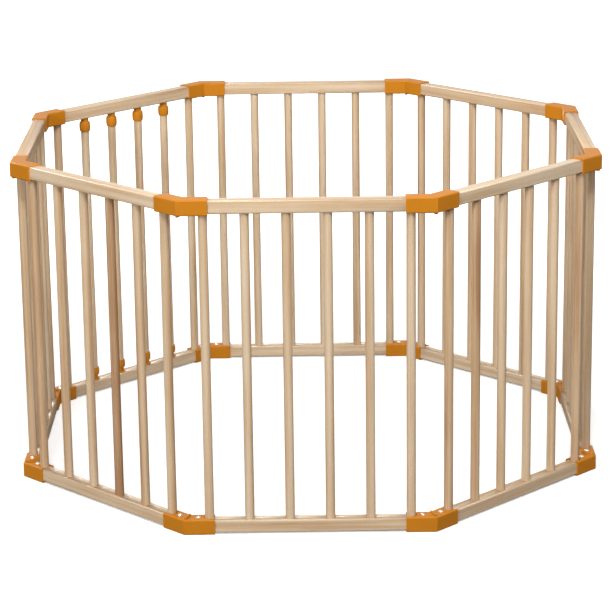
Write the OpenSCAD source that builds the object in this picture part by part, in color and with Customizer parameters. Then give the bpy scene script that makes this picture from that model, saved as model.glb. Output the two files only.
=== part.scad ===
// Octagonal playpen. Eight barred beech panels stand in a ring, and sixteen
// moulded corner connectors, two at each corner, hold their rails at 135 degrees.
// Four bars of one panel are slip bars: each is lifted against a spring in the
// top rail until its peg is clear of the socket in the bottom rail.
// The floor is z = 0, and the origin is at the middle of the pen.
// Panel 1 faces -Y, and the panels and corners count anticlockwise from above.

/* [Pen] */
// Width across two opposite panels, outside the connectors
pen_width = 1153; // [950:1:1400]
// Height from the floor to the top of the upper connectors
pen_height = 649; // [560:1:760]

/* [Rails] */
// Width of a rail, from inner face to outer face
rail_width = 26; // [24:0.5:32]
// Height of a rail
rail_height = 25; // [23:0.5:32]
// Radius of the long edges of a rail
rail_edge_radius = 3; // [1:0.5:5]
// Gap between a rail's end and the stop web in its sleeve
rail_end_gap = 0.3; // [0.1:0.1:1]

/* [Bars] */
// Diameter of the round bars
bar_diameter = 17.5; // [14:0.5:18.5]
// Number of bars in each panel
bars_per_panel = 6; // [6:1:8]
// Distance along the rail from the corner to the end bar
end_bar_setback = 42; // [40:0.5:48]
// Depth of the drilled hole that holds the end of a fixed bar
bar_hole_depth = 15; // [8:0.5:18]
// Chamfer at each end of a bar
bar_chamfer = 1; // [0.4:0.1:2]

/* [Corner connectors] */
// Wall of the sleeves
sleeve_wall = 2.5; // [1.5:0.1:3.2]
// Length of a sleeve beyond its end bar
sleeve_overrun = 1; // [0:0.5:5]
// Radius of the long edges of a sleeve
sleeve_edge_radius = 3; // [1:0.5:4]
// Radius of the upright outer corner
corner_radius = 2; // [1:0.5:8]
// Thickness of the web that stops the two rails
stop_web = 2.5; // [1.5:0.1:4]
// Gap round a bar in its notch
notch_gap = 1.5; // [0.6:0.1:2]
// Width of the rib on the corner
rib_width = 4; // [2:0.5:6]
// Height of the rib on the corner
rib_height = 3; // [1:0.25:4]
// Gap between the ends of the rib and the edges of the connector
rib_margin = 4.5; // [3:0.5:8]

/* [Screws] */
// Distance along the rail from the corner to the screw
screw_setback = 20.5; // [18:0.5:24]
// Diameter of the screw's domed head
screw_head_diameter = 9; // [7:0.5:10]
// Height of the screw's domed head
screw_head_height = 3; // [1.5:0.1:3.5]
// Diameter of the screw's shank
screw_shank_diameter = 3.8; // [3:0.1:5]
// Length of the screw below its head
screw_length = 18; // [10:0.5:20]

/* [Slip bars] */
// Lift that frees a slip bar from its socket
slip_lift = 8; // [5:0.5:10]
// Part of the lift that is left over once the peg is clear of the socket
peg_clearance = 1; // [0.5:0.5:3]
// Diameter of the neck above the top collar and of the peg below the bottom one
neck_diameter = 16.5; // [13:0.5:16.5]
// Depth of the neck in the top rail when the bar is down
neck_engagement = 6; // [4:0.5:8]
// Depth of the hole in the top rail that takes the neck and the spring
neck_hole_depth = 19; // [18.5:0.5:20]
// Wall of a collar round the end of the wooden bar
collar_wall = 2.9; // [2.6:0.1:4]
// Height of the top collar
top_collar_height = 21; // [19:0.5:26]
// Height of the bottom collar
bottom_collar_height = 17.5; // [15:0.5:24]
// Depth of the wooden bar in each collar
collar_bore_depth = 13.5; // [8:0.5:14]
// Amount by which a collar's middle is wider in radius than its ends
collar_bulge = 1; // [0.2:0.1:1.2]
// Radius of a collar's shoulder
collar_shoulder_radius = 3; // [1:0.5:3.5]
// Radius of the edge where a collar meets the bar
collar_rim_radius = 1.5; // [0.5:0.1:2]
// Web between the wooden bar and the spring
spring_web = 4; // [2:0.5:5]

/* [Springs] */
// Outside diameter of the spring
spring_diameter = 8.4; // [7:0.2:9]
// Diameter of the spring wire
spring_wire = 0.9; // [0.6:0.1:1.2]
// Number of turns
spring_turns = 8; // [6:1:10]

/* [Sockets] */
// Width of the socket's flange outside its bore
socket_flange_width = 3.5; // [3:0.5:4.5]
// Thickness of the socket's flange
socket_flange_height = 3; // [2:0.5:4]
// Radius of the flange's upper edge
socket_edge_radius = 1; // [0.3:0.1:1.7]
// Wall of the socket's barrel
socket_wall = 1.2; // [0.8:0.1:1.4]
// Floor of the socket, on which the peg stands
socket_floor = 2; // [1:0.5:4]

/* [Fits] */
// Gap between a rail and its sleeve, all round
sleeve_gap = 0.15; // [0.05:0.05:0.4]
// Gap round a part that is pressed or glued into a bore
seat_gap = 0.1; // [0.05:0.05:0.3]
// Gap at the end of a part that is pressed or glued into a bore
seat_end_gap = 0.3; // [0.1:0.1:1]
// Gap round a neck or peg that slides in a bore
slide_gap = 0.3; // [0.2:0.05:0.6]
// Gap left between the top collar and the rail when the bar is lifted
lift_gap = 0.5; // [0.3:0.1:2]

/* [Hidden] */
$fn = 48;
panel_count = 8;
panel_turn = 360 / panel_count;
half_turn = panel_turn / 2;

// The slip bars stand in this panel, at these places counted from its left end
slip_panel_number = 6;
slip_places = [1, 2, 3, 4];

// Sections: connector and rail share one centre line
sleeve_width = rail_width + 2 * (sleeve_wall + sleeve_gap);
sleeve_height = rail_height + 2 * (sleeve_wall + sleeve_gap);
rail_floor = sleeve_wall + sleeve_gap;
rail_line = pen_width / 2 - sleeve_width / 2;
half_side = rail_line * tan(half_turn);
outer_half_side = pen_width / 2 * tan(half_turn);

// Where the square end of a rail meets the stop web, along the panel
rail_half_length = (rail_line - rail_width / 2) * tan(half_turn)
    - (stop_web / 2 + rail_end_gap) / cos(half_turn);
mouth = half_side - end_bar_setback - bar_diameter / 2 - sleeve_overrun;
// Longer than an arm, for blocks that are cut back at the mitre
arm_reach = 2 * (half_side - mouth) + sleeve_width;
// Flats that round each inner long edge of a connector, whose arms meet there at a mitre
inner_flats = 4;

// Heights of the faces that the bars pass through
bottom_rail_top = rail_floor + rail_height;
top_rail_bottom = pen_height - bottom_rail_top;

// Bars
end_bar_x = half_side - end_bar_setback;
bar_pitch = 2 * end_bar_x / (bars_per_panel - 1);
bar_hole_diameter = bar_diameter + 2 * seat_gap;

// Slip bars, from the bottom up
socket_top = bottom_rail_top + socket_flange_height;
peg_depth = slip_lift - peg_clearance;
peg_end = socket_top - peg_depth;
socket_bore = neck_diameter + 2 * slide_gap;
socket_barrel = socket_bore + 2 * socket_wall;
socket_flange = socket_bore + 2 * socket_flange_width;
socket_foot_radius = 0.2;
neck_show = slip_lift + lift_gap;
bottom_collar_floor = socket_top + neck_show;
slip_bar_bottom = bottom_collar_floor + bottom_collar_height - collar_bore_depth + seat_end_gap;
top_collar_top = top_rail_bottom - neck_show;
top_collar_floor = top_collar_top - top_collar_height;
slip_bar_top = top_collar_floor + collar_bore_depth - seat_end_gap;
neck_top = top_rail_bottom + neck_engagement;
neck_hole_roof = top_rail_bottom + neck_hole_depth;
collar_diameter = bar_hole_diameter + 2 * collar_wall;
spring_floor = top_collar_floor + collar_bore_depth + spring_web;
spring_bore = spring_diameter + 2 * slide_gap;

// Spring mesh
spring_steps = 14;
spring_sides = 6;
spring_tip_gap = 0.1;

beech = [0.87, 0.73, 0.57];
orange_plastic = [0.82, 0.48, 0.14];
steel = [0.75, 0.75, 0.76];

function places() = [for (i = [0 : bars_per_panel - 1]) i];
function is_slip(panel, place) =
    panel == slip_panel_number && len([for (s = slip_places) if (s == place) s]) > 0;
function bar_x(place) = -end_bar_x + place * bar_pitch;
function names(stem, count) = [for (i = [1 : count]) str(stem, i)];

// Carries a shape drawn on panel 1's rail centre line to panel number i
module on_panel(i) {
    rotate([0, 0, (i - 1) * panel_turn]) translate([0, -rail_line, 0]) children();
}

// Turns a shape drawn on the floor side over to the top of the pen
module at_top() {
    translate([0, 0, pen_height]) mirror([0, 0, 1]) children();
}

// Flat rectangle with round corners, centred
module rounded_rectangle(width, height, radius) {
    square([width - 2 * radius, height], center = true);
    square([width, height - 2 * radius], center = true);
    for (x = [-1, 1], y = [-1, 1])
        translate([x * (width / 2 - radius), y * (height / 2 - radius)]) circle(r = radius);
}

// Bar of rounded section along X, from x0 to x1, with its middle height at z
module along_x(x0, x1, z, width, height, radius) {
    translate([x0, 0, z]) rotate([90, 0, 90]) linear_extrude(x1 - x0)
        rounded_rectangle(width, height, radius);
}

// Half profile of a round part, with its own radius at the foot and at the head
module round_profile(diameter, height, foot_radius, head_radius) {
    r = diameter / 2;
    translate([0, foot_radius]) square([r, height - foot_radius - head_radius]);
    square([r - foot_radius, foot_radius]);
    translate([0, height - head_radius]) square([r - head_radius, head_radius]);
    translate([r - foot_radius, foot_radius]) intersection() {
        circle(r = foot_radius);
        translate([0, -foot_radius]) square(2 * foot_radius);
    }
    translate([r - head_radius, height - head_radius]) intersection() {
        circle(r = head_radius);
        translate([0, -head_radius]) square(2 * head_radius);
    }
}

// Half profile of a collar: the same, with its side bowed out in the middle
module collar_profile(height, foot_radius, head_radius) {
    bow = height * height / (8 * collar_bulge) + collar_bulge / 2;
    intersection() {
        round_profile(collar_diameter, height, foot_radius, head_radius);
        translate([collar_diameter / 2 - bow, height / 2]) circle(r = bow, $fn = 360);
    }
}

// Round bar along Z with a chamfer at each end
module round_bar(z0, z1, diameter) {
    r = diameter / 2;
    rotate_extrude() polygon([
        [0, z0], [r - bar_chamfer, z0], [r, z0 + bar_chamfer],
        [r, z1 - bar_chamfer], [r - bar_chamfer, z1], [0, z1]
    ]);
}

// ---- Wooden frame ----

// Rail on the floor side, drilled for its screws. The bar holes are cut by the caller.
module rail_blank() {
    difference() {
        along_x(-rail_half_length, rail_half_length, rail_floor + rail_height / 2,
            rail_width, rail_height, rail_edge_radius);
        for (side = [-1, 1])
            translate([side * (half_side - screw_setback), 0,
                sleeve_height - screw_length - seat_end_gap])
                cylinder(d = screw_shank_diameter + 2 * seat_gap, h = screw_length + 1);
    }
}

module bottom_rail(i) {
    color(beech) on_panel(i) difference() {
        rail_blank();
        for (place = places()) translate([bar_x(place), 0, bottom_rail_top])
            if (is_slip(i, place)) socket_hole();
            else fixed_bar_hole();
    }
}

module top_rail(i) {
    color(beech) on_panel(i) at_top() difference() {
        rail_blank();
        for (place = places()) translate([bar_x(place), 0, bottom_rail_top])
            if (is_slip(i, place)) neck_hole();
            else fixed_bar_hole();
    }
}

// Holes are drilled down from z = 0
module fixed_bar_hole() {
    translate([0, 0, -bar_hole_depth]) cylinder(d = bar_hole_diameter, h = bar_hole_depth + 1);
}

module socket_hole() {
    depth = socket_top - peg_end + socket_floor - socket_flange_height;
    translate([0, 0, -depth - seat_end_gap])
        cylinder(d = socket_barrel + 2 * seat_gap, h = depth + seat_end_gap + 1);
}

module neck_hole() {
    translate([0, 0, -neck_hole_depth])
        cylinder(d = neck_diameter + 2 * slide_gap, h = neck_hole_depth + 1);
}

module bars(i) {
    z0 = bottom_rail_top - bar_hole_depth + seat_end_gap;
    color(beech) on_panel(i) for (place = places())
        if (!is_slip(i, place)) translate([bar_x(place), 0, 0])
            round_bar(z0, pen_height - z0, bar_diameter);
}

// ---- Corner connectors ----

// Half plane on panel 1's side of the mitre, set back from it by a distance
module mitre_side(setback) {
    translate([half_side - setback / cos(half_turn), 0]) rotate(half_turn)
        translate([-arm_reach, -arm_reach]) square([arm_reach, 2 * arm_reach]);
}

// Turns a shape drawn on panel 1's end of a corner over to the next panel's end
module across_mitre() {
    translate([half_side, 0, 0]) mirror([cos(half_turn), sin(half_turn), 0])
        translate([-half_side, 0, 0]) children();
}

// Block along one arm with the connector's outer face and its two rounded edges,
// reaching well past the inner face
module outer_block() {
    translate([0, arm_reach - sleeve_width / 2, 0])
        along_x(mouth, mouth + 2 * arm_reach, sleeve_height / 2,
            2 * arm_reach, sleeve_height, sleeve_edge_radius);
}

// Block along one arm with the connector's inner face, reaching well past the outer.
// Its two edges are rounded by flats, because arcs would meet in a sliver at the mitre.
module inner_block() {
    side = sleeve_width / 2 - sleeve_edge_radius;
    lift = sleeve_height / 2 - sleeve_edge_radius;
    turns = [for (k = [0 : inner_flats]) 90 * k / inner_flats];
    upper = [for (a = turns)
        [side + sleeve_edge_radius * cos(a), lift + sleeve_edge_radius * sin(a)]];
    lower = [for (k = [inner_flats : -1 : 0]) [upper[k].x, -upper[k].y]];
    translate([mouth, 0, sleeve_height / 2]) rotate([90, 0, 90]) linear_extrude(2 * arm_reach)
        polygon(concat(upper, [[-2 * arm_reach, sleeve_height / 2],
            [-2 * arm_reach, -sleeve_height / 2]], lower));
}

// Both arms as one solid bend, its long edges rounded and mitred
module solid_bend() {
    intersection() {
        outer_block();
        across_mitre() outer_block();
        union() {
            inner_block();
            across_mitre() inner_block();
        }
    }
}

// What is cut out of one arm: the rail's pocket, the bar's notch and the screw's hole
module arm_cuts() {
    intersection() {
        along_x(mouth - 1, half_side + sleeve_width, sleeve_height / 2,
            rail_width + 2 * sleeve_gap, rail_height + 2 * sleeve_gap, rail_edge_radius);
        linear_extrude(sleeve_height) mitre_side(stop_web / 2);
    }
    translate([0, 0, bottom_rail_top]) bar_notch();
    translate([half_side - screw_setback, 0, bottom_rail_top])
        cylinder(d = screw_shank_diameter + 2 * seat_gap, h = 2 * sleeve_wall);
}

// U-shaped cut that lets the end bar into the mouth of the sleeve
module bar_notch() {
    width = bar_diameter + 2 * notch_gap;
    translate([end_bar_x, 0, 0]) cylinder(d = width, h = 2 * sleeve_wall);
    translate([mouth - 1, -width / 2, 0])
        cube([end_bar_x - mouth + 1, width, 2 * sleeve_wall]);
}

// Waste outside the rounded upright corner, drawn in plan on panel 1
module corner_waste() {
    y = -sleeve_width / 2;
    tangent = corner_radius * tan(half_turn);
    difference() {
        polygon([
            [outer_half_side - tangent, y - 1],
            [outer_half_side + 2, y - 1],
            [outer_half_side + tangent * cos(panel_turn) + 1, y + tangent * sin(panel_turn) - 1],
            [outer_half_side + tangent * cos(panel_turn), y + tangent * sin(panel_turn)],
            [outer_half_side - tangent, y + corner_radius]
        ]);
        translate([outer_half_side - tangent, y + corner_radius]) circle(r = corner_radius);
    }
}

// Rib along the mitre on the face towards the opening
module corner_rib() {
    length = sleeve_width / cos(half_turn) - 2 * rib_margin;
    translate([half_side, 0, sleeve_height - sleeve_wall]) rotate([0, 0, half_turn])
        translate([-rib_width / 2, -length / 2, 0])
            cube([rib_width, length, sleeve_wall + rib_height]);
}

module connector(i) {
    on_panel(i) difference() {
        union() {
            solid_bend();
            corner_rib();
        }
        arm_cuts();
        across_mitre() arm_cuts();
        translate([0, 0, -1]) linear_extrude(sleeve_height + 2) corner_waste();
    }
}

module bottom_connector(i) {
    color(orange_plastic) connector(i);
}

module top_connector(i) {
    color(orange_plastic) at_top() connector(i);
}

// ---- Screws ----

// Domed screw standing on z = 0, with its shank below
module screw() {
    r = screw_head_diameter / 2;
    dome = (r * r + screw_head_height * screw_head_height) / (2 * screw_head_height);
    translate([0, 0, -screw_length]) cylinder(d = screw_shank_diameter, h = screw_length + 0.5);
    intersection() {
        translate([0, 0, screw_head_height - dome]) sphere(r = dome);
        cylinder(r = r, h = screw_head_height);
    }
}

module screw_ring() {
    for (i = [1 : panel_count], side = [-1, 1])
        on_panel(i) translate([side * (half_side - screw_setback), 0, sleeve_height]) screw();
}

module bottom_screws() {
    color(steel) screw_ring();
}

module top_screws() {
    color(steel) at_top() screw_ring();
}

// ---- Slip bars ----

// Carries a part drawn on the Z axis to slip bar number i
module on_slip_bar(i) {
    on_panel(slip_panel_number) translate([bar_x(slip_places[i - 1]), 0, 0]) children();
}

module slip_bar(i) {
    color(beech) on_slip_bar(i) round_bar(slip_bar_bottom, slip_bar_top, bar_diameter);
}

// Collar on the bar's upper end, with a hollow neck that slides in the top rail
module slip_bar_top_cap(i) {
    color(orange_plastic) on_slip_bar(i) difference() {
        union() {
            translate([0, 0, top_collar_floor]) rotate_extrude()
                collar_profile(top_collar_height, collar_rim_radius, collar_shoulder_radius);
            translate([0, 0, top_collar_top - collar_shoulder_radius])
                cylinder(d = neck_diameter, h = neck_top - top_collar_top + collar_shoulder_radius);
        }
        translate([0, 0, top_collar_floor - 1])
            cylinder(d = bar_hole_diameter, h = collar_bore_depth + 1);
        translate([0, 0, spring_floor]) cylinder(d = spring_bore, h = neck_top - spring_floor + 1);
    }
}

// Collar on the bar's lower end, with a peg that stands in the socket
module slip_bar_bottom_cap(i) {
    color(orange_plastic) on_slip_bar(i) difference() {
        union() {
            translate([0, 0, bottom_collar_floor]) rotate_extrude()
                collar_profile(bottom_collar_height, collar_shoulder_radius, collar_rim_radius);
            translate([0, 0, peg_end])
                cylinder(d = neck_diameter, h = bottom_collar_floor - peg_end + 1);
        }
        translate([0, 0, slip_bar_bottom - seat_end_gap])
            cylinder(d = bar_hole_diameter, h = collar_bore_depth + 1);
    }
}

// Socket pressed into the bottom rail, with a flange on top of the rail
module slip_bar_sockets() {
    color(orange_plastic) for (i = [1 : len(slip_places)]) on_slip_bar(i) difference() {
        union() {
            translate([0, 0, bottom_rail_top]) rotate_extrude()
                round_profile(socket_flange, socket_flange_height,
                    socket_foot_radius, socket_edge_radius);
            translate([0, 0, peg_end - socket_floor])
                cylinder(d = socket_barrel, h = bottom_rail_top - peg_end + socket_floor + 1);
        }
        translate([0, 0, peg_end]) cylinder(d = socket_bore, h = socket_top - peg_end + 1);
    }
}

// Centre line of the spring wire, and one ring of its surface
function spring_point(t) = let (
        rise = neck_hole_roof - spring_floor - spring_wire - 2 * spring_tip_gap,
        r = (spring_diameter - spring_wire) / 2,
        turn = 360 * spring_turns * t
    ) [r * cos(turn), r * sin(turn), spring_floor + spring_wire / 2 + spring_tip_gap + rise * t];
function spring_ring(t) = let (
        turn = 360 * spring_turns * t,
        centre = spring_point(t)
    ) [for (j = [0 : spring_sides - 1]) let (
            a = 360 * j / spring_sides,
            out = spring_wire / 2 * cos(a)
        ) centre + [out * cos(turn), out * sin(turn), spring_wire / 2 * sin(a)]];

module slip_bar_spring(i) {
    rings = spring_turns * spring_steps;
    points = [for (k = [0 : rings]) each spring_ring(k / rings)];
    last = rings * spring_sides;
    sides = [for (k = [0 : rings - 1], j = [0 : spring_sides - 1]) let (
            a = k * spring_sides + j,
            b = k * spring_sides + (j + 1) % spring_sides
        ) each [[a, b, b + spring_sides], [a, b + spring_sides, a + spring_sides]]];
    ends = [
        [for (j = [spring_sides - 1 : -1 : 0]) j],
        [for (j = [0 : spring_sides - 1]) last + j]
    ];
    color(steel) on_slip_bar(i) polyhedron(points, concat(sides, ends));
}

for (i = [1 : panel_count]) {
    top_rail(i);
    bottom_rail(i);
    bars(i);
    top_connector(i);
    bottom_connector(i);
}
top_screws();
bottom_screws();
for (i = [1 : len(slip_places)]) {
    slip_bar(i);
    slip_bar_top_cap(i);
    slip_bar_bottom_cap(i);
    slip_bar_spring(i);
}
slip_bar_sockets();
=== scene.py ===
import math
import random

import bmesh
import bpy
from mathutils import Matrix, Vector


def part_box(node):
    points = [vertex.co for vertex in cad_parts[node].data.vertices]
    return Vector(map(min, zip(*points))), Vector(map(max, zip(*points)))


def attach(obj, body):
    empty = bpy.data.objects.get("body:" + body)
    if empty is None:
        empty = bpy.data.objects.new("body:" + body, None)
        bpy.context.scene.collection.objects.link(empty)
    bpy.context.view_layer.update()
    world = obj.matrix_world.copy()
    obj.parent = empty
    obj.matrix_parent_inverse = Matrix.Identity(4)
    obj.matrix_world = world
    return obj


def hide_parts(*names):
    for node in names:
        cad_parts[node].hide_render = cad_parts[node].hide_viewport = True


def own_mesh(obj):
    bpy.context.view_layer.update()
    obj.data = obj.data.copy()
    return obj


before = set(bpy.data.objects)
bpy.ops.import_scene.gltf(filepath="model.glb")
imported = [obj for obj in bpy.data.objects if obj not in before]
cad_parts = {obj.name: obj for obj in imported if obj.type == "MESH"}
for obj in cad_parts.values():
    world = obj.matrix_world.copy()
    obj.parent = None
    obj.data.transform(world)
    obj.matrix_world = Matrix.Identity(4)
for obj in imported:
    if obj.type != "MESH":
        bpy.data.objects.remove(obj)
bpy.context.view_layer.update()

# ---- Rails ----
# Sixteen battens of solid beech, planed square, their long edges rounded and
# sanded, then sealed with a clear satin lacquer. They are drilled for the bars
# from above and below, and their square ends stand inside the corner sleeves.


def colour(code):
    """A six-digit sRGB hex code as linear red, green, blue and alpha."""
    parts = [int(code[k:k + 2], 16) / 255 for k in (0, 2, 4)]
    return [p / 12.92 if p <= 0.04045 else ((p + 0.055) / 1.055) ** 2.4 for p in parts] + [1]


def add(tree, kind, links=None, **settings):
    """Adds a shader node. links gives each input socket a value or an output to join."""
    made = tree.nodes.new("ShaderNode" + kind)
    for name, value in settings.items():
        setattr(made, name, value)
    for socket, value in (links or {}).items():
        if isinstance(value, bpy.types.NodeSocket):
            tree.links.new(value, made.inputs[socket])
        else:
            made.inputs[socket].default_value = value
    return made


def new_material(name):
    """An empty node material, with its tree and its output node."""
    material = bpy.data.materials.new(name)
    material.use_nodes = True
    material.node_tree.nodes.clear()
    return material, material.node_tree, add(material.node_tree, "OutputMaterial")


# European beech, unsteamed: pale straw to pinkish tan, straight grained. Short
# dark ray flecks are what tells the eye that it is beech. The lacquer fills the
# pores, so it has a soft even sheen and almost no relief. Each pattern below is
# scaled along the grain, across the growth layers, and along them.
LAYER_SPACING = 0.002566

beech, tree, output = new_material("lacquered_beech")
grain = add(tree, "Attribute", attribute_name="grain").outputs["Vector"]
# Each piece's tone, which for some rails and for the back panel's bars also holds painted light.
tone = add(tree, "Attribute", attribute_name="tone").outputs["Fac"]
# Slow streaks, 600 mm by 10 mm.
streaks = add(tree, "TexNoise", {
    "Vector": add(tree, "Mapping", {"Vector": grain, "Scale": (1.6, 95, 95)}).outputs[0],
    "Scale": 1, "Detail": 3, "Roughness": 0.55}).outputs[0]
# Cloudy patches, 170 mm by 33 mm.
clouds = add(tree, "TexNoise", {
    "Vector": add(tree, "Mapping", {"Vector": grain, "Scale": (6, 30, 30)}).outputs[0],
    "Scale": 1, "Detail": 2}).outputs[0]
# Growth layers. At a Scale of 1 the bands of this node lie tau / 20 metres apart.
layers = add(tree, "TexWave", {
    "Vector": add(tree, "Mapping", {"Vector": grain, "Scale": (0.02, 1, 0.12)}).outputs[0],
    "Scale": math.tau / 20 / LAYER_SPACING, "Distortion": 2.2, "Detail": 2,
    "Detail Scale": 0.35, "Detail Roughness": 0.6},
    bands_direction="Y", wave_profile="SAW").outputs["Fac"]
# Fibres, 40 mm by 0.7 mm.
fibres = add(tree, "TexNoise", {
    "Vector": add(tree, "Mapping", {"Vector": grain, "Scale": (25, 1400, 1400)}).outputs[0],
    "Scale": 1, "Detail": 2}).outputs[0]
# Ray flecks, 2.4 mm long and 0.2 to 0.4 mm wide.
rays = add(tree, "TexNoise", {
    "Vector": add(tree, "Mapping", {"Vector": grain, "Scale": (420, 4200, 2600)}).outputs[0],
    "Scale": 1, "Detail": 0}).outputs[0]
flecks = add(tree, "MapRange", {
    "Value": rays, "From Min": 0.60, "From Max": 0.70}, interpolation_type="SMOOTHSTEP").outputs[0]

# How deep the colour is, from the palest wood at 0 to the darkest at 1.
depth = add(tree, "Math", {0: streaks, 1: 1.5, 2: -0.75}, operation="MULTIPLY_ADD").outputs[0]
depth = add(tree, "Math", {0: clouds, 1: 0.55, 2: depth}, operation="MULTIPLY_ADD").outputs[0]
depth = add(tree, "Math", {0: layers, 1: 0.16, 2: depth}, operation="MULTIPLY_ADD").outputs[0]
depth = add(tree, "Math", {0: fibres, 1: 0.30, 2: depth}, operation="MULTIPLY_ADD").outputs[0]
depth = add(tree, "Math", {0: depth, 1: tone}, operation="ADD").outputs[0]
body_colour = add(tree, "ValToRGB", {"Fac": depth})
ramp = body_colour.color_ramp
ramp.elements.remove(ramp.elements[1])
ramp.elements[0].color = colour("DDCAB0")
for stop, code in ((0.42, "D0B695"), (0.72, "C09F7B"), (1, "A27B59")):
    ramp.elements.new(stop).color = colour(code)
faint = add(tree, "Math", {0: flecks, 1: 0.3}, operation="MULTIPLY").outputs[0]
flecked = add(tree, "Mix", {"Factor": faint, "A": body_colour.outputs[0],
                            "B": colour("9A6F4B")}, data_type="RGBA").outputs["Result"]
relief = add(tree, "Math", {0: fibres, 1: 0.7, 2: layers}, operation="MULTIPLY_ADD").outputs[0]
lacquer = add(tree, "BsdfPrincipled", {
    "Base Color": flecked,
    "Roughness": add(tree, "MapRange", {"Value": fibres, "To Min": 0.34,
                     "To Max": 0.46}).outputs[0],
    "IOR": 1.5,
    "Normal": add(tree, "Bump", {"Height": relief, "Strength": 0.25,
                  "Distance": 0.00008}).outputs[0]})
tree.links.new(lacquer.outputs[0], output.inputs["Surface"])

# Panel 1 is the front one. The others follow anticlockwise, seen from above.
PANELS = range(1, 9)
FACING = {i: math.radians(45 * (i - 1)) for i in PANELS}
MERGE_DISTANCE = 1e-6
SMOOTH_ANGLE = math.radians(30)
# The stock that every piece is cut from at a spot of its own, far larger than
# a real board, so that no two pieces have the same figure.
STOCK_SIZE = (40, 0.4, 0.4)
RAIL_TONES = (-0.04, 0.02)

draw = random.Random(7)


def merged_copy(node):
    """A CAD node's loose triangles as one closed mesh."""
    bm = bmesh.new()
    bm.from_mesh(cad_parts[node].data)
    bmesh.ops.remove_doubles(bm, verts=bm.verts, dist=MERGE_DISTANCE)
    return bm


def mark_timber(bm):
    """Gives a mesh the two values that the beech reads at each point."""
    bm.verts.layers.float_vector.new("grain")
    bm.verts.layers.float.new("tone")
    return bm


def lay_grain(bm, verts, centre, along, tone):
    """Writes where each point lies in the stock: metres along the grain, across the
    growth layers, and along them."""
    turned = draw.uniform(0, math.tau)
    side = along.orthogonal().normalized()
    across = Matrix.Rotation(turned, 3, along) @ side
    third = along.cross(across)
    shift = Vector([draw.uniform(0, size) for size in STOCK_SIZE])
    grain = bm.verts.layers.float_vector["grain"]
    depth = bm.verts.layers.float["tone"]
    for v in verts:
        p = v.co - centre
        v[grain] = Vector((p.dot(along), p.dot(across), p.dot(third))) + shift
        v[depth] = tone


def to_piece(bm, name, material, body, stands_for):
    """The finished mesh as a piece of the pen, smooth except at its sharper edges."""
    mesh = bpy.data.meshes.new(name)
    bm.to_mesh(mesh)
    bm.free()
    mesh.materials.append(material)
    mesh.polygons.foreach_set("use_smooth", [True] * len(mesh.polygons))
    mesh.set_sharp_from_angle(angle=SMOOTH_ANGLE)
    piece = bpy.data.objects.new(name, mesh)
    bpy.context.scene.collection.objects.link(piece)
    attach(piece, body)
    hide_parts(*stands_for)
    return piece


# How much paler than the rest some rails are: partly from paler boards, and partly
# painted light, standing in for the brighter light that falls on these rails.
pale_boards_and_painted_light = {("bottom", 1): 0.14, ("top", 2): 0.18, ("bottom", 2): 0.06, ("bottom", 4): 0.08,
               ("bottom", 5): 0.18, ("bottom", 6): 0.20, ("top", 8): 0.16, ("bottom", 8): 0.10}
for i in PANELS:
    for level in ("top", "bottom"):
        node = f"{level}_rail_{i}"
        rail = mark_timber(merged_copy(node))
        low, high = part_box(node)
        lay_grain(rail, rail.verts, (low + high) / 2,
                  Vector((math.cos(FACING[i]), math.sin(FACING[i]), 0)),
                  draw.uniform(*RAIL_TONES) - pale_boards_and_painted_light.get((level, i), 0))
        to_piece(rail, f"{level}_rail_{i}_lacquered", beech, "frame", [node])

# ---- Fixed bars ----
# Forty-four turned beech dowels, 17.5 mm thick, chamfered at both ends, glued
# into blind holes in the rails. They come from mixed boards, so each has a
# tone of its own, and a few are of dark heartwood. The back panel's bars are set
# paler: partly pale wood, and partly painted light for the brighter light at the back.

BAR_DIAMETER = 0.0175
BAR_CHAMFER = 0.001
BAR_SIDES = 48
BAR_TONES = (-0.10, 0.12)
CAP_ANGLE = math.radians(60)
BARS_PER_PANEL = 6
SLIP_PANEL = 6
SLIP_PLACES = (1, 2, 3, 4)

low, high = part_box("bars_1")
rail_line = -(low.y + high.y) / 2
end_bar = high.x - BAR_DIAMETER / 2
pitch = 2 * end_bar / (BARS_PER_PANEL - 1)
# Tones set by panel and place; the paler ones of panel 5, at the back, are partly painted light.
# The others are drawn.
set_tones = {(8, 3): 0.42, (2, 1): 0.26, (8, 1): 0.10, (1, 2): 0.02,
             (5, 0): -0.14, (5, 2): -0.14, (5, 5): -0.12}


def bar_foot(i, place):
    """The point on the floor below a bar of panel i."""
    return Matrix.Rotation(FACING[i], 3, "Z") @ Vector((place * pitch - end_bar, -rail_line, 0))


def turn_bar(bm, foot, bottom, top, tone):
    """One round bar with chamfered ends."""
    made = bmesh.ops.create_cone(
        bm, cap_ends=True, segments=BAR_SIDES, radius1=BAR_DIAMETER / 2,
        radius2=BAR_DIAMETER / 2, depth=top - bottom,
        matrix=Matrix.Translation(foot + Vector((0, 0, (top + bottom) / 2))))["verts"]
    rims = [e for e in bm.edges if e.verts[0] in made and e.calc_face_angle(0) > CAP_ANGLE]
    bmesh.ops.bevel(bm, geom=rims, offset=BAR_CHAMFER, affect="EDGES", segments=1,
                    profile=0.5, material=-1)
    new = [v for v in bm.verts if (v.co.xy - foot.xy).length < BAR_DIAMETER]
    lay_grain(bm, new, foot, Vector((0, 0, 1)), tone)


for i in PANELS:
    low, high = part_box(f"bars_{i}")
    bars = mark_timber(bmesh.new())
    for place in range(BARS_PER_PANEL):
        if i != SLIP_PANEL or place not in SLIP_PLACES:
            turn_bar(bars, bar_foot(i, place), low.z, high.z,
                     set_tones.get((i, place), draw.uniform(*BAR_TONES)))
    to_piece(bars, f"bars_{i}_turned", beech, "frame", [f"bars_{i}"])

# ---- Corner connectors ----
# Sixteen injection mouldings in orange polypropylene. Each is a pair of open
# sleeves at 135 degrees with a notch for the end bar and a rib on the corner.
# It is pushed over the rail ends and screwed down.

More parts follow.
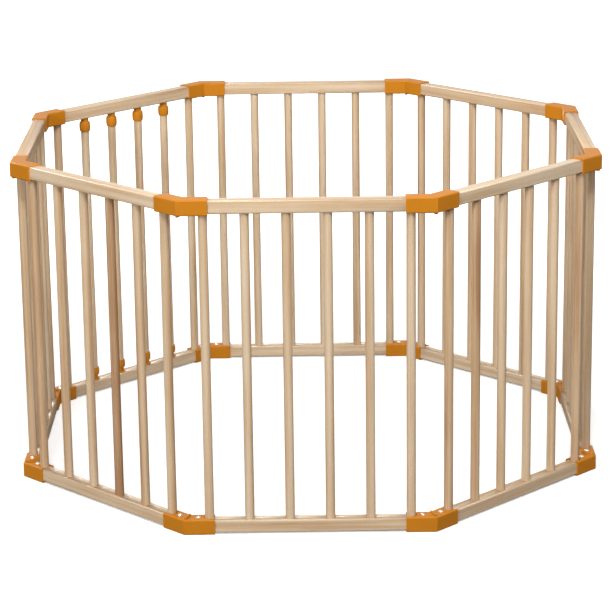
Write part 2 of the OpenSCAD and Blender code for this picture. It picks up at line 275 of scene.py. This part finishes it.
# The mould was spark eroded to a fine matt texture, 0.3 mm across, drawn here
# at 0.8 mm so that it shows, with faint cloudy flow marks 40 mm across.
polypropylene, tree, output = new_material("moulded_polypropylene")
point = add(tree, "TexCoord").outputs["Object"]
texture = add(tree, "TexNoise", {"Vector": point, "Scale": 1 / 0.0008, "Detail": 2}).outputs[0]
flow = add(tree, "TexNoise", {"Vector": point, "Scale": 1 / 0.04, "Detail": 3,
                              "Distortion": 0.6}).outputs[0]
pigment = add(tree, "Mix", {"Factor": flow, "A": colour("BC7415"), "B": colour("C37D1B")},
              data_type="RGBA").outputs["Result"]
speckled = add(tree, "Mix", {"Factor": add(tree, "MapRange", {
    "Value": texture, "From Min": 0.35, "From Max": 0.65, "To Max": 0.10}).outputs[0],
    "A": pigment, "B": colour("9F5D10")}, data_type="RGBA").outputs["Result"]
shell = add(tree, "BsdfPrincipled", {
    "Base Color": speckled,
    "Roughness": add(tree, "MapRange", {"Value": texture, "To Min": 0.36,
                     "To Max": 0.50}).outputs[0],
    "IOR": 1.49,
    "Specular IOR Level": 0.17,
    "Normal": add(tree, "Bump", {"Height": texture, "Strength": 0.2,
                  "Distance": 0.0001}).outputs[0]})
tree.links.new(shell.outputs[0], output.inputs["Surface"])

FLAT_ANGLE = math.radians(1)
CRISP_ANGLE = math.radians(35)
CRISP_ROUNDING = 0.0004

for i in PANELS:
    for level in ("top", "bottom"):
        node = f"{level}_connector_{i}"
        moulding = merged_copy(node)
        bmesh.ops.dissolve_limit(moulding, angle_limit=FLAT_ANGLE, verts=moulding.verts,
                                 edges=moulding.edges, delimit={"NORMAL"})
        crisp = [e for e in moulding.edges if e.calc_face_angle(0) > CRISP_ANGLE]
        bmesh.ops.bevel(moulding, geom=crisp, offset=CRISP_ROUNDING, affect="EDGES",
                        segments=2, profile=0.5, material=-1, clamp_overlap=True)
        piece = to_piece(moulding, f"{level}_connector_{i}_moulded", polypropylene, "frame",
                         [node])
        even = piece.modifiers.new("even_shading", "WEIGHTED_NORMAL")
        even.keep_sharp = True

# ---- Screws ----
# Thirty-two zinc-plated steel screws with domed heads and a cross recess, two
# through each connector, one into each rail. They are driven home from above at
# the bottom of the pen, and from below at the top.

# Bright zinc plating over rolled steel: mirror grey with a cool cast, and a
# little dulled by fine tumbling marks.
zinc, tree, output = new_material("zinc_plated_steel")
point = add(tree, "TexCoord").outputs["Object"]
tumbling = add(tree, "TexNoise", {"Vector": point, "Scale": 1 / 0.0006, "Detail": 3}).outputs[0]
plating = add(tree, "Mix", {"Factor": tumbling, "A": colour("B9B8B4"), "B": colour("DDDDDB")},
              data_type="RGBA").outputs["Result"]
metal = add(tree, "BsdfPrincipled", {
    "Base Color": plating,
    "Metallic": 1,
    "Roughness": add(tree, "MapRange", {"Value": tumbling, "To Min": 0.18,
                     "To Max": 0.38}).outputs[0],
    "Normal": add(tree, "Bump", {"Height": tumbling, "Strength": 0.15,
                  "Distance": 0.00005}).outputs[0]})
tree.links.new(metal.outputs[0], output.inputs["Surface"])

HEAD_RADIUS = 0.0045
HEAD_HEIGHT = 0.003
HEAD_LIP = 0.0001
DOME_STEPS = 8
SHANK_RADIUS = 0.0019
SCREW_LENGTH = 0.018
POINT_LENGTH = 0.004
SCREW_STEPS = 24
RECESS_LENGTH = 0.0048
RECESS_WIDTH = 0.001
RECESS_DEPTH = 0.0016
RECESS_TAPER = (0.35, 0.7, 1)
# How far a screw stands from the corner of the octagon, along the rail.
SCREW_SETBACK = 0.0205


def spin_profile(bm, points, steps):
    """Turns an open profile, of radius and height pairs, once round the Z axis."""
    verts = [bm.verts.new((radius, 0, height)) for radius, height in points]
    edges = [bm.edges.new(pair) for pair in zip(verts, verts[1:])]
    bmesh.ops.spin(bm, geom=verts + edges, cent=(0, 0, 0), axis=(0, 0, 1),
                   angle=math.tau, steps=steps, use_merge=True)
    bmesh.ops.remove_doubles(bm, verts=bm.verts, dist=MERGE_DISTANCE)
    bmesh.ops.recalc_face_normals(bm, faces=bm.faces)


def cut(target, cutter):
    """Takes the cutter's shape out of the target's, and returns what is left."""
    objects = []
    for bm in (target, cutter):
        mesh = bpy.data.meshes.new("shape")
        bm.to_mesh(mesh)
        bm.free()
        objects.append(bpy.data.objects.new("shape", mesh))
        bpy.context.scene.collection.objects.link(objects[-1])
    boolean = objects[0].modifiers.new("cut", "BOOLEAN")
    boolean.operation, boolean.solver, boolean.object = "DIFFERENCE", "EXACT", objects[1]
    bpy.context.view_layer.update()
    left = bmesh.new()
    left.from_object(objects[0], bpy.context.evaluated_depsgraph_get())
    for o in objects:
        mesh = o.data
        bpy.data.objects.remove(o)
        bpy.data.meshes.remove(mesh)
    return left


head_curve = (HEAD_RADIUS ** 2 + HEAD_HEIGHT ** 2) / (2 * HEAD_HEIGHT)
dome = [(head_curve * math.sin(a), HEAD_HEIGHT - head_curve * (1 - math.cos(a)))
        for a in (k / DOME_STEPS * math.asin(HEAD_RADIUS / head_curve)
                  for k in range(DOME_STEPS))]
screw = bmesh.new()
spin_profile(screw, dome + [(HEAD_RADIUS, HEAD_LIP), (HEAD_RADIUS, 0), (SHANK_RADIUS, 0),
                            (SHANK_RADIUS, -SCREW_LENGTH + POINT_LENGTH),
                            (0, -SCREW_LENGTH)], SCREW_STEPS)
# The recess is cut one arm at a time, each narrower at its foot.
for turn in (0, math.pi / 2):
    recess = bmesh.new()
    arm = bmesh.ops.create_cube(recess, size=1)["verts"]
    bmesh.ops.scale(recess, vec=(RECESS_LENGTH, RECESS_WIDTH, 2 * RECESS_DEPTH), verts=arm)
    foot = [v for v in arm if v.co.z < 0]
    bmesh.ops.scale(recess, vec=RECESS_TAPER, verts=foot)
    bmesh.ops.rotate(recess, matrix=Matrix.Rotation(turn, 3, "Z"), verts=arm)
    bmesh.ops.translate(recess, vec=(0, 0, HEAD_HEIGHT), verts=arm)
    screw = cut(screw, recess)
one_screw = bpy.data.meshes.new("one_screw")
screw.to_mesh(one_screw)
screw.free()

# Half the side of the octagon on which the rails' middle lines lie.
half_side = rail_line * math.tan(math.radians(22.5))
for level in ("top", "bottom"):
    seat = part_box(f"{level}_screws")
    screws = bmesh.new()
    for i in PANELS:
        for side in (-1, 1):
            before = len(screws.verts)
            screws.from_mesh(one_screw)
            screws.verts.ensure_lookup_table()
            fresh = screws.verts[before:]
            bmesh.ops.rotate(screws, verts=fresh,
                             matrix=Matrix.Rotation(draw.uniform(0, math.tau), 3, "Z"))
            if level == "top":
                bmesh.ops.rotate(screws, verts=fresh, matrix=Matrix.Rotation(math.pi, 3, "X"))
                height = seat[0].z + HEAD_HEIGHT
            else:
                height = seat[1].z - HEAD_HEIGHT
            spot = Matrix.Rotation(FACING[i], 3, "Z") @ Vector(
                (side * (half_side - SCREW_SETBACK), -rail_line, height))
            bmesh.ops.translate(screws, verts=fresh, vec=spot)
    to_piece(screws, f"{level}_screws_driven", zinc, "frame", [f"{level}_screws"])
bpy.data.meshes.remove(one_screw)

# ---- Slip bars ----
# Four beech dowels of the same 17.5 mm stock. They aren't glued into the rails:
# each end sits in a plastic collar, and the whole bar lifts 8 mm to come out.

SLIP_BAR_TONES = (-0.10, 0.10)

for i in SLIP_PLACES:
    node = f"slip_bar_{i}"
    low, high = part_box(node)
    bar = mark_timber(bmesh.new())
    turn_bar(bar, bar_foot(SLIP_PANEL, i), low.z, high.z, draw.uniform(*SLIP_BAR_TONES))
    to_piece(bar, f"{node}_turned", beech, node, [node])

# ---- Collars ----
# The moulded fittings on the ends of each slip bar, of the connectors' orange
# polypropylene. The top one has a hollow neck that slides in the rail round
# the spring. The bottom one has a peg that drops into the socket.

LIFT = 0.008
LIFT_GAP = 0.0005
NECK_LEFT_IN_RAIL = 0.006
NECK_LENGTH = LIFT + LIFT_GAP + NECK_LEFT_IN_RAIL
BOTTOM_COLLAR_LENGTH = 0.0175
COLLAR_RADIUS = 0.01175
BORE_RADIUS = 0.00885
BORE_DEPTH = 0.0135
NECK_RADIUS = 0.00825
SPRING_BORE_RADIUS = 0.0045
SPRING_WEB = 0.004
# Radii of the collar's two ends: the shoulder at the neck and the rim at the bar.
SHOULDER = 0.003
RIM = 0.0015
BULGE = 0.001
TIP_ROUNDING = 0.0006
CURVE_STEPS = 6
LATHE_STEPS = 48
RIM_TOLERANCE = 1e-5


def round_rims(bm, radius, height, offset, segments):
    """Rounds the edge that goes once round the Z axis at this radius and height."""
    rim = [e for e in bm.edges
           if all(abs(v.co.xy.length - radius) < RIM_TOLERANCE
                  and abs(v.co.z - height) < RIM_TOLERANCE for v in e.verts)]
    bmesh.ops.bevel(bm, geom=rim, offset=offset, affect="EDGES", segments=segments,
                    profile=0.5, material=-1)


def collar_side(length):
    """Radius and height up the outside of a collar, which is bowed out in the middle."""
    bow = length ** 2 / (8 * BULGE) + BULGE / 2
    steps = [1 - math.cos(k / CURVE_STEPS * math.pi / 2) for k in range(CURVE_STEPS + 1)]
    heights = [RIM * t for t in steps]
    heights += [RIM + (length - SHOULDER - RIM) * k / CURVE_STEPS for k in range(1, CURVE_STEPS)]
    heights += [length - SHOULDER * t for t in reversed(steps)]
    side = []
    for z in heights:
        foot = RIM - math.sqrt(RIM ** 2 - max(RIM - z, 0) ** 2)
        head = SHOULDER - math.sqrt(SHOULDER ** 2 - max(z - length + SHOULDER, 0) ** 2)
        barrel = bow - math.sqrt(bow ** 2 - (z - length / 2) ** 2)
        side.append((COLLAR_RADIUS - max(foot, head, barrel), z))
    return side


def turn_collar(length, tip, spring_bore):
    """A collar with its mouth at z = 0 and its neck, or peg, pointing up."""
    bm = bmesh.new()
    profile = [(0, BORE_DEPTH), (BORE_RADIUS, BORE_DEPTH), (BORE_RADIUS, 0)]
    profile += collar_side(length) + [(NECK_RADIUS, length), (NECK_RADIUS, tip)]
    if spring_bore:
        floor = BORE_DEPTH + SPRING_WEB
        profile += [(SPRING_BORE_RADIUS, tip), (SPRING_BORE_RADIUS, floor), (0, floor)]
    else:
        profile += [(0, tip)]
    spin_profile(bm, profile, LATHE_STEPS)
    round_rims(bm, NECK_RADIUS, tip, TIP_ROUNDING, segments=2)
    return bm


for i in SLIP_PLACES:
    spot = bar_foot(SLIP_PANEL, i)
    low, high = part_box(f"slip_bar_top_cap_{i}")
    collar = turn_collar(high.z - low.z - NECK_LENGTH, high.z - low.z, spring_bore=True)
    bmesh.ops.translate(collar, verts=collar.verts, vec=spot + Vector((0, 0, low.z)))
    to_piece(collar, f"slip_bar_top_collar_{i}", polypropylene, f"slip_bar_{i}",
             [f"slip_bar_top_cap_{i}"])
    low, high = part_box(f"slip_bar_bottom_cap_{i}")
    collar = turn_collar(BOTTOM_COLLAR_LENGTH, high.z - low.z, spring_bore=False)
    bmesh.ops.rotate(collar, verts=collar.verts, matrix=Matrix.Rotation(math.pi, 3, "X"))
    bmesh.ops.translate(collar, verts=collar.verts, vec=spot + Vector((0, 0, high.z)))
    to_piece(collar, f"slip_bar_bottom_collar_{i}", polypropylene, f"slip_bar_{i}",
             [f"slip_bar_bottom_cap_{i}"])

# ---- Sockets ----
# Four flanged cups of the same plastic, pressed into holes in the bottom rail
# of the slip-bar panel. The flange stands 3 mm proud of the wood.

SOCKET_BORE = 0.00855
SOCKET_BARREL = 0.00975
SOCKET_FLANGE = 0.01205
FLANGE_HEIGHT = 0.003
FLANGE_ROUNDING = 0.001
MOUTH_ROUNDING = 0.0004
SOCKET_FLOOR = 0.002

low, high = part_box("slip_bar_sockets")
cups = bmesh.new()
for i in SLIP_PLACES:
    cup = bmesh.new()
    under = high.z - FLANGE_HEIGHT
    spin_profile(cup, [(0, low.z + SOCKET_FLOOR), (SOCKET_BORE, low.z + SOCKET_FLOOR),
                       (SOCKET_BORE, high.z), (SOCKET_FLANGE, high.z), (SOCKET_FLANGE, under),
                       (SOCKET_BARREL, under), (SOCKET_BARREL, low.z), (0, low.z)], LATHE_STEPS)
    round_rims(cup, SOCKET_FLANGE, high.z, FLANGE_ROUNDING, segments=3)
    round_rims(cup, SOCKET_BORE, high.z, MOUTH_ROUNDING, segments=2)
    bmesh.ops.translate(cup, verts=cup.verts, vec=bar_foot(SLIP_PANEL, i))
    mesh = bpy.data.meshes.new("cup")
    cup.to_mesh(mesh)
    cup.free()
    cups.from_mesh(mesh)
    bpy.data.meshes.remove(mesh)
to_piece(cups, "slip_bar_sockets_pressed", polypropylene, "frame", ["slip_bar_sockets"])

# ---- Springs ----
# Four coil springs of bright 0.9 mm wire, eight turns each, hidden in the neck
# holes of the top rail. Lifting a bar closes its spring by 8 mm.

# Cold drawn spring steel: darker than the screws, with drawing lines along the
# wire too fine to see, which leave a satin sheen.
spring_steel, tree, output = new_material("drawn_spring_steel")
point = add(tree, "TexCoord").outputs["Object"]
oil = add(tree, "TexNoise", {"Vector": point, "Scale": 1 / 0.002, "Detail": 2}).outputs[0]
wire_colour = add(tree, "Mix", {"Factor": oil, "A": colour("8D8C89"), "B": colour("ABABA9")},
                  data_type="RGBA").outputs["Result"]
metal = add(tree, "BsdfPrincipled", {
    "Base Color": wire_colour,
    "Metallic": 1,
    "Roughness": add(tree, "MapRange", {"Value": oil, "To Min": 0.28,
                     "To Max": 0.42}).outputs[0],
    "Normal": add(tree, "Bump", {"Height": oil, "Strength": 0.1,
                  "Distance": 0.00004}).outputs[0]})
tree.links.new(metal.outputs[0], output.inputs["Surface"])

WIRE_RADIUS = 0.00045
WIRE_SIDES = 10
COIL_RADIUS = 0.00375
TURNS = 8
STEPS_PER_TURN = 24

for i in SLIP_PLACES:
    node = f"slip_bar_spring_{i}"
    low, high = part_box(node)
    spot = bar_foot(SLIP_PANEL, i)
    coil = bmesh.new()
    ring = bmesh.ops.create_circle(coil, cap_ends=True, segments=WIRE_SIDES, radius=WIRE_RADIUS,
                                   matrix=Matrix.Rotation(math.pi / 2, 4, "X"))["verts"]
    start = spot + Vector((COIL_RADIUS, 0, low.z + WIRE_RADIUS))
    bmesh.ops.translate(coil, verts=ring, vec=start)
    steps = TURNS * STEPS_PER_TURN
    rise = (high.z - low.z - 2 * WIRE_RADIUS) / steps
    bmesh.ops.spin(coil, geom=coil.verts[:] + coil.edges[:] + coil.faces[:], cent=spot,
                   axis=(0, 0, 1), dvec=(0, 0, rise), angle=math.tau * TURNS, steps=steps)
    bmesh.ops.remove_doubles(coil, verts=coil.verts, dist=MERGE_DISTANCE)
    bmesh.ops.recalc_face_normals(coil, faces=coil.faces)
    spring = to_piece(coil, f"{node}_coil", spring_steel, "frame", [node])
    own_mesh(spring)

# ---- Studio ----
# A wide pale floor under a white surround, and six broad soft lamps: high in
# front, front left, right, behind, left and overhead. The four far ones carry
# grids, which narrow their beams.

FLOOR_SIZE = 30
FLOOR_LIFT = 0.45
LIFT_STARTS = 0.7
LIFT_FULL = 2

# Matt white paint. To the camera it is lifted to white, fully so two metres
# from the middle of the pen, and it bounces less light than it shows.
floor_paint, tree, output = new_material("pale_floor")
seen = add(tree, "LightPath").outputs["Is Camera Ray"]
point = add(tree, "TexCoord").outputs["Object"]
scuffs = add(tree, "TexNoise", {"Vector": point, "Scale": 3, "Detail": 2}).outputs[0]
shade = add(tree, "Mix", {"Factor": scuffs, "A": colour("E4E4E4"), "B": colour("E8E8E8")},
            data_type="RGBA").outputs["Result"]
bounced = add(tree, "Mix", {"Factor": seen, "A": colour("808080"), "B": shade},
              data_type="RGBA").outputs["Result"]
matt = add(tree, "BsdfDiffuse", {"Color": bounced}).outputs[0]
away = add(tree, "VectorMath", {0: point}, operation="LENGTH").outputs["Value"]
lift = add(tree, "MapRange", {"Value": away, "From Min": LIFT_STARTS, "From Max": LIFT_FULL,
                              "To Min": FLOOR_LIFT, "To Max": 1},
           interpolation_type="SMOOTHSTEP").outputs[0]
lift = add(tree, "Math", {0: lift, 1: seen}, operation="MULTIPLY").outputs[0]
glow = add(tree, "Emission", {"Color": (1, 1, 1, 1), "Strength": lift}).outputs[0]
tree.links.new(add(tree, "AddShader", {0: matt, 1: glow}).outputs[0], output.inputs["Surface"])
slab = bmesh.new()
bmesh.ops.create_grid(slab, x_segments=1, y_segments=1, size=FLOOR_SIZE)
mesh = bpy.data.meshes.new("floor")
slab.to_mesh(mesh)
slab.free()
mesh.materials.append(floor_paint)
floor = bpy.data.objects.new("floor", mesh)
bpy.context.scene.collection.objects.link(floor)

# White to the camera and in reflections, and dim as a source of light.
SURROUND_FILL = 0.22

world = bpy.data.worlds.new("surround")
bpy.context.scene.world = world
world.use_nodes = True
tree = world.node_tree
tree.nodes.clear()
path = add(tree, "LightPath")
sheen = add(tree, "MapRange", {"Value": path.outputs["Is Glossy Ray"],
                               "To Min": SURROUND_FILL, "To Max": 1}).outputs[0]
strength = add(tree, "Math", {0: path.outputs["Is Camera Ray"], 1: sheen},
               operation="MAXIMUM").outputs[0]
surround = add(tree, "Background", {"Color": (1, 1, 1, 1), "Strength": strength})
tree.links.new(surround.outputs[0], add(tree, "OutputWorld").inputs["Surface"])

LAMP_SIZE = 1.4
LAMP_AIM = Vector((0, 0.55, 0.65))
GRID = math.radians(64)
BARE = math.radians(180)

for name, spot, spread, watts in (("front_lamp", (0, -6.5, 7), GRID, 46),
                                  ("left_lamp", (-4, -8, 2.6), GRID, 42),
                                  ("right_lamp", (2.6, -1.5, 2.0), BARE, 15.5),
                                  ("back_lamp", (-4.5, 8, 3), GRID, 42),
                                  ("side_lamp", (-8, 1.5, 3.5), GRID, 15),
                                  ("top_lamp", (0, -1.1, 2.2), BARE, 22)):
    lamp = bpy.data.lights.new(name, "AREA")
    lamp.shape = "SQUARE"
    lamp.size = LAMP_SIZE
    lamp.spread = spread
    lamp.energy = watts
    holder = bpy.data.objects.new(name, lamp)
    holder.location = spot
    holder.rotation_euler = (LAMP_AIM - Vector(spot)).to_track_quat("-Z", "Y").to_euler()
    holder.visible_camera = False
    bpy.context.scene.collection.objects.link(holder)

# ---- Camera ----
# It stands five metres in front of the pen at 1.7 m, with a long lens, looking
# 16 degrees down and tilted three quarters of a degree.

CAMERA_SPOT = (-0.0025, -4.932, 1.6985)
FOCAL_LENGTH = 145.5
SENSOR_WIDTH = 36
PAN = 0.0004
LOOK_DOWN = 0.2796
TILT = 0.0132

lens = bpy.data.cameras.new("camera")
lens.sensor_width = SENSOR_WIDTH
lens.lens = FOCAL_LENGTH
camera = bpy.data.objects.new("camera", lens)
camera.matrix_world = (Matrix.Translation(CAMERA_SPOT)
                       @ Matrix.Rotation(PAN, 4, "Z")
                       @ Matrix.Rotation(math.pi / 2 - LOOK_DOWN, 4, "X")
                       @ Matrix.Rotation(-TILT, 4, "Z"))
bpy.context.scene.collection.objects.link(camera)
bpy.context.scene.camera = camera

bpy.context.scene.view_settings.view_transform = "Standard"
